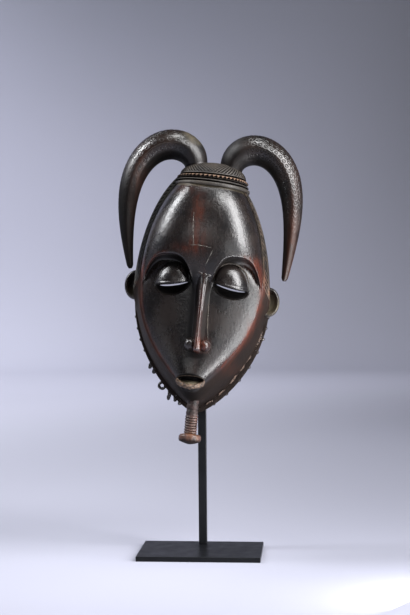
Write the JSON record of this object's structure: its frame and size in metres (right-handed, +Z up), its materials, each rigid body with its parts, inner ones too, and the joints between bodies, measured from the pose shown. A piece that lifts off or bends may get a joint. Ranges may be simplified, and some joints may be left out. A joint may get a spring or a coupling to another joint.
{
  "type": "carved face mask on display stand",
  "caption": "Hollow carved wooden face mask with two curling horns and a ringed beard, held upright by a square steel rod on a flat base plate.",
  "frame": {"origin": "middle of the base plate's underside", "axes": "+Z up along the rod, the mask looks along -Y, +X is to the right of someone who faces the mask"},
  "size_m": [0.2231, 0.123, 0.5208],
  "materials": {
    "carved_wood": "dark glossy patina, rubbed to red-brown on the raised places",
    "black_steel": "satin black"
  },
  "bodies": {
    "root": {"mask": "carved_wood", "stand_base_plate": "black_steel", "stand_rod_and_holder": "black_steel"}
  },
  "joints": []
}
